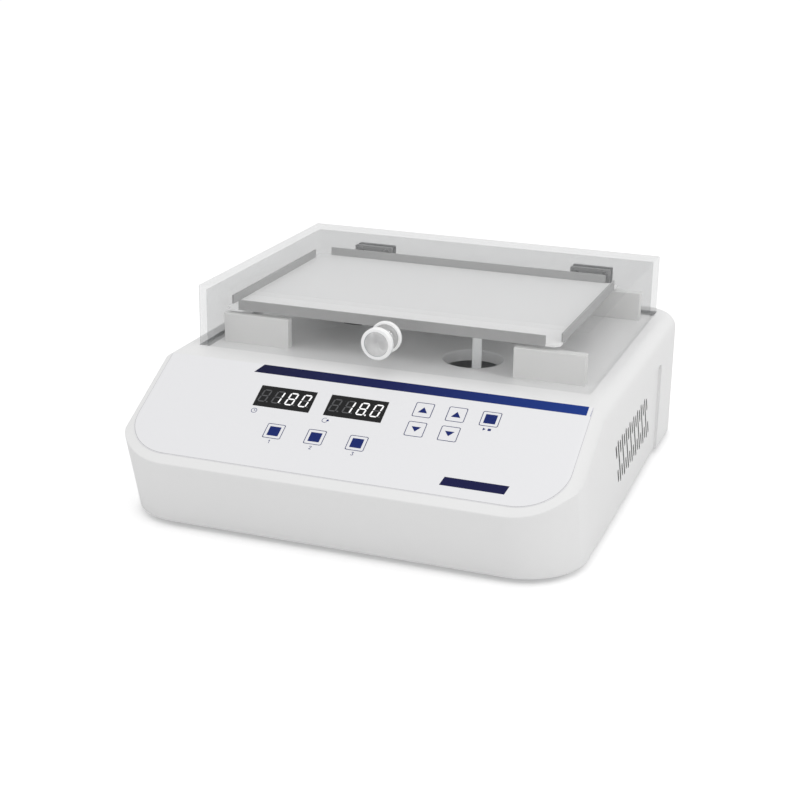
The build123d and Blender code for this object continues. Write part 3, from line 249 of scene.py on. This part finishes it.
# Displays: two modules of four white seven-segment digits, behind smoked windows that lie flush
# with the film. The segments that are off still show as dark grey bars.
smoked = surface(
    "smoked acrylic", "#1c1c1d", 0.2, grain_mm=4, grain_depth_mm=0.0003, Specular_IOR_Level=0.12,
)
dress(smoked, "display_black", "display_time", "display_speed")
lit = surface("lit segment", "#e4e4e4", 0.4, Emission_Color=srgb("#e8e8e8"), Emission_Strength=0.55)
unlit = surface("unlit segment", "#47474a", 0.4)
# sizes in mm; the lean is how far a digit shears to the right for each mm of height
DIGIT_HEIGHT = 14.0
DIGIT_WIDTH = 7.4
DIGIT_PITCH = 12.05
STROKE = 1.25
SEGMENT_GAP = 0.25
LEAN = 0.16
READING_T = 86.3
POINT_ASIDE = 5.0
POINT_DROP = 6.2
POINT_RADIUS = 0.8
POINT_SIDES = 16
SEGMENTS = {"1": "bc", "8": "abcdefg", "0": "abcdef"}


def segment(letter):
    """corners of one pointed bar of a seven-segment digit, centred on the digit, before it leans"""
    half = STROKE / 2
    out, top = DIGIT_WIDTH / 2 - half, DIGIT_HEIGHT / 2 - half
    ends = {
        "a": ((-out, top), (out, top)),
        "b": ((out, 0), (out, top)),
        "c": ((out, -top), (out, 0)),
        "d": ((-out, -top), (out, -top)),
        "e": ((-out, -top), (-out, 0)),
        "f": ((-out, 0), (-out, top)),
        "g": ((-out, 0), (out, 0)),
    }[letter]
    start, end = np.array(ends[0], float), np.array(ends[1], float)
    way = (end - start) / np.linalg.norm(end - start)
    side = np.array([-way[1], way[0]]) * half
    start, end = start + way * SEGMENT_GAP, end - way * SEGMENT_GAP
    tip = way * half
    return np.array([start, start + tip + side, end - tip + side, end, end - tip - side, start + tip - side])


def digit_shapes(u, t, letters):
    """the named bars of a digit at (u, t), sheared to the right"""
    lean = np.array([[1, 0], [LEAN, 1]])
    return [segment(letter) @ lean + np.array([u, t]) for letter in letters]


def dot_shape(u, t):
    """round decimal point"""
    a = np.linspace(0, 2 * np.pi, POINT_SIDES, endpoint=False)
    return np.stack([u + POINT_RADIUS * np.cos(a), t + POINT_RADIUS * np.sin(a)], axis=-1)


# each display's first digit in mm, its text, and the place whose point is lit
readings = {"time": (-84.6, " 180", None), "speed": (-21.7, " 180", 2)}
for name, (first, text, lit_point) in readings.items():
    on, off = [], []
    for i, figure in enumerate(text):
        shown = SEGMENTS.get(figure, "")
        centre = first + i * DIGIT_PITCH
        on += digit_shapes(centre, READING_T, shown)
        off += digit_shapes(centre, READING_T, [x for x in "abcdefg" if x not in shown])
        point = dot_shape(centre + POINT_ASIDE - LEAN * POINT_DROP, READING_T - POINT_DROP)
        (on if i == lit_point else off).append(point)
    printed("digits_lit_" + name, on, lit, "base")
    printed("digits_unlit_" + name, off, unlit, "base")


# Keys: square pads of the same printed film over snap domes, each with a thin navy frame and its
# symbol: a square for the programs and for run or stop, arrows for up and down.
key_film = surface("key film", "#ececee", 0.3, grain_mm=0.3, grain_depth_mm=0.0008)
navy_ink = surface("navy ink", "#1a2a6c", 0.5, grain_mm=0.3, grain_depth_mm=0.0005, Specular_IOR_Level=0.08)
# each key's place in mm across and up the panel
keys = {
    "key_program_1": (-62.0, 50.0, "square"),
    "key_program_2": (-26.0, 50.0, "square"),
    "key_program_3": (10.0, 50.0, "square"),
    "key_time_up": (52.0, 94.0, "up"),
    "key_time_down": (52.0, 73.0, "down"),
    "key_speed_up": (80.0, 94.0, "up"),
    "key_speed_down": (80.0, 73.0, "down"),
    "key_run_stop": (108.3, 94.0, "square"),
}
KEY_HALF = 7.7
KEY_CORNER = 1.5
KEY_LINE = 0.45
SQUARE_HALF = 4.9
SQUARE_CORNER = 0.4
CORNER_STEPS = 6


def rounded_loop(half, corner):
    """corners of a square with rounded corners, counter-clockwise: one arc in four quarter turns"""
    a = np.linspace(0, np.pi / 2, CORNER_STEPS)
    arc = np.stack([np.cos(a), np.sin(a)], axis=-1) * corner + (half - corner)
    quarter = np.array([[0, 1], [-1, 0]])
    return np.concatenate([arc @ np.linalg.matrix_power(quarter, turns) for turns in range(4)])


def frame_ring(u, t):
    """a key's thin frame as quads between an outer and an inner rounded loop"""
    outer = rounded_loop(KEY_HALF, KEY_CORNER) + (u, t)
    inner = rounded_loop(KEY_HALF - KEY_LINE, KEY_CORNER - KEY_LINE) + (u, t)
    return list(np.stack([outer, np.roll(outer, -1, 0), np.roll(inner, -1, 0), inner], axis=1))


symbols = {
    "square": rounded_loop(SQUARE_HALF, SQUARE_CORNER),
    "up": np.array([(-4.0, -3.0), (4.0, -3.0), (0.0, 3.0)]),
    "down": np.array([(-4.0, 2.6), (0.0, -2.6), (4.0, 2.6)]),
}
for name, (u, t, kind) in keys.items():
    dress(key_film, "key_film", name)
    printed(name + "_frame", frame_ring(u, t), navy_ink, name)
    printed(name + "_symbol", [symbols[kind] + (u, t)], navy_ink, name)


# Corner bar: a plain bar printed at the lower right of the film in dark ink, with ends that lean
# a little.
dark_ink = surface(
    "dark navy ink", "#1a1c48", 0.5, grain_mm=0.3, grain_depth_mm=0.0005, Specular_IOR_Level=0.08,
)
BAR_U = (88.0, 140.0)
BAR_T = (21.0, 29.6)
BAR_LEAN = 2.0
bar = np.array([
    (BAR_U[0], BAR_T[0]), (BAR_U[1], BAR_T[0]),
    (BAR_U[1] + BAR_LEAN, BAR_T[1]), (BAR_U[0] + BAR_LEAN, BAR_T[1]),
])
printed("corner_bar", [bar], dark_ink, "base")


# Edge of the film: a fine grey line where the sheet ends in its shallow recess, painted shade of the step at
# its edge. It runs down the sides, round the two large lower corners and along the foot.
def stroke(u, t, points, width):
    """a straight stroke for each pair of neighbouring points, as wide as stated"""
    points = np.array(points, float) + (u, t)
    way = np.diff(points, axis=0)
    way /= np.linalg.norm(way, axis=1, keepdims=True)
    side = np.stack([-way[:, 1], way[:, 0]], axis=-1) * width / 2
    start, end = points[:-1] - way * width / 2, points[1:] + way * width / 2
    return list(np.stack([start - side, end - side, end + side, start + side], axis=1))


# painted shade: a thin grey stroke along the film's edge
painted_edge_shade = surface("painted shade along the sheet's edge", "#c2c2c4", 0.5, grain_mm=0.3, grain_depth_mm=0.0005)
FILM_HALF = 185.5
FILM_TOP = 120.0
FILM_FOOT = 10.8
FILM_CORNER = 40.0
FILM_CORNER_STEPS = 25
EDGE_LINE = 0.5
turn = np.radians(np.linspace(180, 270, FILM_CORNER_STEPS))
corner_centre = (FILM_CORNER - FILM_HALF, FILM_FOOT + FILM_CORNER)
left_corner = FILM_CORNER * np.stack([np.cos(turn), np.sin(turn)], axis=-1) + corner_centre
right_corner = left_corner[::-1] * (-1, 1)
edge_path = np.concatenate([[(-FILM_HALF, FILM_TOP)], left_corner, right_corner, [(FILM_HALF, FILM_TOP)]])
printed("sheet_edge_painted_shade", stroke(0, 0, edge_path, EDGE_LINE), painted_edge_shade, "base")


# Marks: plain signs in navy ink. A clock and a turning arrow stand under the displays, numbers
# under the program keys, and a start and stop sign under the key at the right.
ARC_STEPS = 24
MARK_T = 69.0
MARK_RADIUS = 2.6
MARK_LINE = 0.45
CLOCK_U = -87.5
CLOCK_HANDS = [(0, 1.5), (0, 0), (1.1, 0)]
HAND_LINE = 0.4
ARROW_U = -24.5
ARROW_HEAD = np.array([(3.8, -0.4), (1.0, -0.4), (2.4, 1.6)])
FIGURE_T = 38.7
FIGURE_LINE = 0.42
FIGURES = {
    "1": [(-0.6, 0.9), (0.1, 1.6), (0.1, -1.6)],
    "2": [(-0.9, 1.1), (-0.2, 1.6), (0.7, 1.2), (0.7, 0.5), (-0.9, -1.6), (0.9, -1.6)],
    "3": [(-0.9, 1.6), (0.8, 1.6), (0.0, 0.3), (0.8, -0.3), (0.7, -1.3), (-0.1, -1.6), (-0.9, -1.2)],
}
START_STOP_PLACE = (keys["key_run_stop"][0], 82.8)
START_SIGN = np.array([(-3.2, -1.4), (-0.8, 0.0), (-3.2, 1.4)])
STOP_SIGN = np.array([(0.9, -1.2), (3.5, -1.2), (3.5, 1.2), (0.9, 1.2)])


def arc_band(u, t, start, end):
    """quads along an arc of a mark's ring, from one angle in degrees to another"""
    a = np.radians(np.linspace(start, end, ARC_STEPS))
    rim = np.stack([np.cos(a), np.sin(a)], axis=-1)
    outer, inner = rim * MARK_RADIUS + (u, t), rim * (MARK_RADIUS - MARK_LINE) + (u, t)
    return list(np.stack([outer[:-1], outer[1:], inner[1:], inner[:-1]], axis=1))


clock = arc_band(CLOCK_U, MARK_T, 0, 360) + stroke(CLOCK_U, MARK_T, CLOCK_HANDS, HAND_LINE)
printed("mark_clock", clock, navy_ink, "base")
turning_arrow = arc_band(ARROW_U, MARK_T, 70, 370) + [ARROW_HEAD + (ARROW_U, MARK_T)]
printed("mark_turn", turning_arrow, navy_ink, "base")
for figure, points in FIGURES.items():
    lines = stroke(keys["key_program_" + figure][0], FIGURE_T, points, FIGURE_LINE)
    printed("mark_" + figure, lines, navy_ink, "base")
start_stop = [START_SIGN + START_STOP_PLACE, STOP_SIGN + START_STOP_PLACE]
printed("mark_start_stop", start_stop, navy_ink, "base")


# Rest blocks: four plain blocks of white acetal. They stand on the deck, one near each corner of
# the tray.
block_plastic = surface("white acetal", "#e9e9e8", 0.4, grain_mm=0.8)
dress(
    block_plastic, "block_white",
    "rest_block_front_left", "rest_block_front_right", "rest_block_rear_left", "rest_block_rear_right",
)


# Lid: sheets of clear cast acrylic, welded with solvent into a box that is open below. The acrylic is the
# same in every sheet: the front and right sheets are drawn the clearest, and the grey given to the top and,
# more so, to the rear and left sheets is painted shade.
SHEETS = {
    "front sheet": ("#a9abac", 0.05),
    "far sheets with painted shade": ("#7d8083", 0.27),
    "top sheet": ("#999b9c", 0.12),
}
TOP_FROM_Z = 0.16
REAR_FROM_Y = 0.17
LEFT_FROM_X = -0.168
FACING_UP = 0.9
sheets = {
    place: surface("acrylic " + place, colour, 0.06, grain_mm=40, grain_depth_mm=0.0, ior=1.49, Alpha=alpha)
    for place, (colour, alpha) in SHEETS.items()
}
lid_piece = smooth_copy("lid", "lid", sheets["front sheet"])
lid_piece.data.materials.append(sheets["far sheets with painted shade"])
lid_piece.data.materials.append(sheets["top sheet"])
# faces of the top, rear and left sheets take the grey of painted shade
for face in lid_piece.data.polygons:
    x, y, z = face.center
    if abs(face.normal.z) > FACING_UP and z > TOP_FROM_Z:
        face.material_index = 2
    elif y > REAR_FROM_Y or x < LEFT_FROM_X:
        face.material_index = 1


# Knob: a turned spool of clear acrylic, screwed through the front of the lid. Its rims are polished and
# drawn opaque white, a painted highlight; the groove in its face is drawn grey, a painted shade.
knob_acrylic = surface(
    "turned clear acrylic", "#ffffff", 0.1, grain_mm=1.0, grain_depth_mm=0.001, ior=1.49,
    Transmission_Weight=0.6,
)
rim_painted_highlight = surface("polished rim with painted highlight", "#ffffff", 0.05, grain_mm=1.0, grain_depth_mm=0.0, ior=1.49)
groove_painted_shade = surface("painted shade in the knob's groove", "#b4b8b9", 0.2, grain_mm=1.0, grain_depth_mm=0.001, ior=1.49)
KNOB_Z = 0.1484
GROOVE_BEFORE_Y = -0.1005
GROOVE_WITHIN = 0.0109
RIM_BEYOND = 0.0112
FACING_FRONT = 0.7
knob_piece = smooth_copy("lid_knob", "lid", knob_acrylic)
knob_piece.data.materials.append(rim_painted_highlight)
knob_piece.data.materials.append(groove_painted_shade)
# faces in the groove take the painted shade, faces on the rims the painted highlight
for face in knob_piece.data.polygons:
    reach = np.hypot(face.center.x, face.center.z - KNOB_Z)
    in_face = face.center.y < GROOVE_BEFORE_Y and reach < GROOVE_WITHIN
    if in_face and abs(face.normal.y) < FACING_FRONT:
        face.material_index = 2
    elif reach > RIM_BEYOND:
        face.material_index = 1


# Hinges: grey glass-filled nylon. Each has a leaf screwed to the lid's rear sheet, a clamp plate
# inside that sheet, and a leaf screwed to the deck, on a steel pin.
hinge_nylon = surface("glass-filled nylon", "#8e8e8f", 0.5, grain_mm=0.6, grain_depth_mm=0.01)
for name in ("hinge_lid_leaf_left", "hinge_lid_leaf_right", "hinge_clamps"):
    smooth_copy(name, "lid", hinge_nylon)
for name in ("hinge_deck_leaf_left", "hinge_deck_leaf_right"):
    smooth_copy(name, "base", hinge_nylon)


# Tray: a plate with white powder coat. Grey painted rails stand along its four sides and leave
# its corners open.
tray_coat = surface("white powder coat", "#fbfbfb", 0.45, grain_mm=0.5, grain_depth_mm=0.006)
dress(tray_coat, "tray_white", "tray")
rail_paint = surface("grey hammer paint", "#adadad", 0.4, grain_mm=0.8, grain_depth_mm=0.006)
dress(rail_paint, "rail_grey", "tray_rail_front", "tray_rail_rear", "tray_rail_left", "tray_rail_right")


# Cranks and pulley: ground steel. The main crank and two idler cranks turn together and carry the
# carriage; the small pulley sits on the motor's shaft.
ground_steel = surface("ground steel", "#c9cacc", 0.25, metallic=1.0, grain_mm=0.3)
for name, body in (
    ("main_crank", "crank"), ("idler_crank_right", "idler_right"),
    ("idler_crank_left", "idler_left"), ("motor_pulley", "motor_rotor"),
):
    smooth_copy(name, body, ground_steel)


# Rods: turned white acetal, from the carriage through the deck holes to the tray. A faint glow is painted
# light that makes them brighter than the lamps alone would.
# painted light: the emission makes the rods glow
rod_acetal_painted_glow = surface(
    "turned white acetal with painted glow", "#f2f4f4", 0.2, grain_mm=0.6, grain_depth_mm=0.001,
    Emission_Color=srgb("#f2f4f4"), Emission_Strength=0.2,
)
smooth_copy("tray_rods", "tray", rod_acetal_painted_glow)


# Bearings, carriage, posts and large pulley: steel ball bearings pressed into machined aluminium.
# A cast iron counterweight balances the carriage and tray.
bearing_steel = surface("polished bearing steel", "#d6d7d9", 0.12, metallic=1.0, grain_mm=2)
dress(bearing_steel, "bearing_steel", "carriage_bearings", "idler_bearings", "main_bearings")
milled = surface("milled aluminium", "#c8cacc", 0.35, metallic=1.0, grain_mm=0.4, grain_depth_mm=0.003)
dress(milled, "carriage_aluminium", "carriage", "driven_pulley", "main_post", "idler_posts")
cast_iron = surface("painted cast iron", "#4a4b4d", 0.6, grain_mm=1.2, grain_depth_mm=0.03)
dress(cast_iron, "counterweight_iron", "counterweight")


# Motor and belt: the motor is painted black and hangs on its bracket. A neoprene belt runs from
# its pulley to the large one.
motor_paint = surface("black stove paint", "#18181a", 0.4, grain_mm=0.8)
dress(motor_paint, "motor_black", "motor")
belt_rubber = surface("neoprene", "#161616", 0.75, grain_mm=0.6, grain_depth_mm=0.01)
dress(belt_rubber, "belt_rubber", "belt")


# Circuit boards and key switches: the control board with its switches stands behind the panel,
# and the power board lies on the base.
board_green = surface("green solder mask", "#0f4a25", 0.35, grain_mm=1.0)
dress(board_green, "circuit_board", "control_board", "power_board")
switch_black = surface("black switch plastic", "#1a1a1a", 0.5, grain_mm=0.5)
dress(switch_black, "switch_plastic", "key_switches")


# Power inlet: a black moulded socket in the rear wall with a rocker switch in its frame. The
# rocker is glossier than the socket.
inlet_black = surface("black moulded nylon", "#171717", 0.45, grain_mm=0.6, grain_depth_mm=0.008)
dress(inlet_black, "inlet_black", "power_inlet")
rocker_black = surface("black rocker", "#131313", 0.25, grain_mm=0.8)
dress(rocker_black, "rocker_black", "switch_rocker")


# Studio: a white surround and floor that light the object at a plain level, and three soft lamps.
# The camera, glass and metal see the surround as plain white.
AMBIENT = 0.80
FLOOR_REACH = 20
FLOOR_GREY = (0.86, 0.86, 0.86, 1)
FLOOR_LIFT = 0.35
WHITE = (1, 1, 1, 1)


def ray_is(material, *kinds):
    """1 where a ray is of any of these kinds, otherwise 0: the largest of their flags"""
    path = add_node(material, "ShaderNodeLightPath")
    flag = path.outputs[kinds[0]]
    for kind in kinds[1:]:
        larger = add_node(material, "ShaderNodeMath", {0: flag, 1: path.outputs[kind]}, operation="MAXIMUM")
        flag = larger.outputs[0]
    return flag


world = bpy.data.worlds.new("studio")
bpy.context.scene.world = world
world.use_nodes = True
world.node_tree.nodes.clear()
ambient = add_node(world, "ShaderNodeBackground", {"Color": WHITE, "Strength": AMBIENT})
white = add_node(world, "ShaderNodeBackground", {"Color": WHITE, "Strength": 1.0})
seen = ray_is(world, "Is Camera Ray", "Is Transmission Ray", "Is Glossy Ray")
either = add_node(world, "ShaderNodeMixShader", {0: seen, 1: ambient.outputs[0], 2: white.outputs[0]})
add_node(world, "ShaderNodeOutputWorld", {"Surface": either.outputs[0]})

floor_white = bpy.data.materials.new("white floor")
floor_white.use_nodes = True
floor_white.node_tree.nodes.clear()
matte = add_node(floor_white, "ShaderNodeBsdfDiffuse", {"Color": FLOOR_GREY})
glow = add_node(floor_white, "ShaderNodeEmission", {"Color": WHITE, "Strength": FLOOR_LIFT})
lifted = add_node(floor_white, "ShaderNodeAddShader", {0: matte.outputs[0], 1: glow.outputs[0]})
seen = ray_is(floor_white, "Is Camera Ray", "Is Transmission Ray")
pick = add_node(floor_white, "ShaderNodeMixShader", {0: seen, 1: matte.outputs[0], 2: lifted.outputs[0]})
add_node(floor_white, "ShaderNodeOutputMaterial", {"Surface": pick.outputs[0]})

floor_corners = [(FLOOR_REACH * x, FLOOR_REACH * y, 0) for x, y in ((-1, -1), (1, -1), (1, 1), (-1, 1))]
floor_mesh = bpy.data.meshes.new("floor")
floor_mesh.from_pydata(floor_corners, [], [(0, 1, 2, 3)])
floor_mesh.materials.append(floor_white)
floor = bpy.data.objects.new("floor", floor_mesh)
bpy.context.scene.collection.objects.link(floor)

LAMPS_FACE = Vector((0, 0, 0.08))


def soft_box(name, place, size, power):
    """square area lamp that faces the object"""
    lamp = bpy.data.lights.new(name, "AREA")
    lamp.energy = power
    lamp.size = size
    holder = bpy.data.objects.new(name, lamp)
    holder.location = place
    holder.rotation_euler = (LAMPS_FACE - Vector(place)).to_track_quat("-Z", "Y").to_euler()
    bpy.context.scene.collection.objects.link(holder)


soft_box("top_light", place=(0.3, -0.2, 2.2), size=1.8, power=5.6)
soft_box("right_light", place=(2.0, -0.6, 1.3), size=1.4, power=5.6)
soft_box("front_light", place=(-0.8, -2.2, 1.4), size=1.4, power=1.1)


# Camera: it stands where the photograph was taken from, in metres and degrees. Its focal length
# is in pixels of a picture 800 wide.
CAMERA_PLACE = Vector((0.4440, -1.2580, 0.5316))
YAW = radians(20.0734)
PITCH = radians(19.1957)
ROLL = radians(0.8103)
FOCAL_PIXELS = 1579.563
PICTURE_PIXELS = 800
SENSOR_MM = 36.0
ahead = Vector((-sin(YAW) * cos(PITCH), cos(YAW) * cos(PITCH), -sin(PITCH)))
right = ahead.cross(Vector((0, 0, 1))).normalized()
up = right.cross(ahead)
camera_x = cos(ROLL) * right + sin(ROLL) * up
camera_y = -sin(ROLL) * right + cos(ROLL) * up
view = Matrix((camera_x, camera_y, -ahead)).transposed().to_4x4()
view.translation = CAMERA_PLACE
lens = bpy.data.cameras.new("camera")
lens.sensor_width = SENSOR_MM
lens.lens = FOCAL_PIXELS / PICTURE_PIXELS * SENSOR_MM
lens.clip_start = 0.05
lens.clip_end = 60
camera = bpy.data.objects.new("camera", lens)
camera.matrix_world = view
bpy.context.scene.collection.objects.link(camera)
bpy.context.scene.camera = camera
bpy.context.scene.view_settings.view_transform = "Standard"
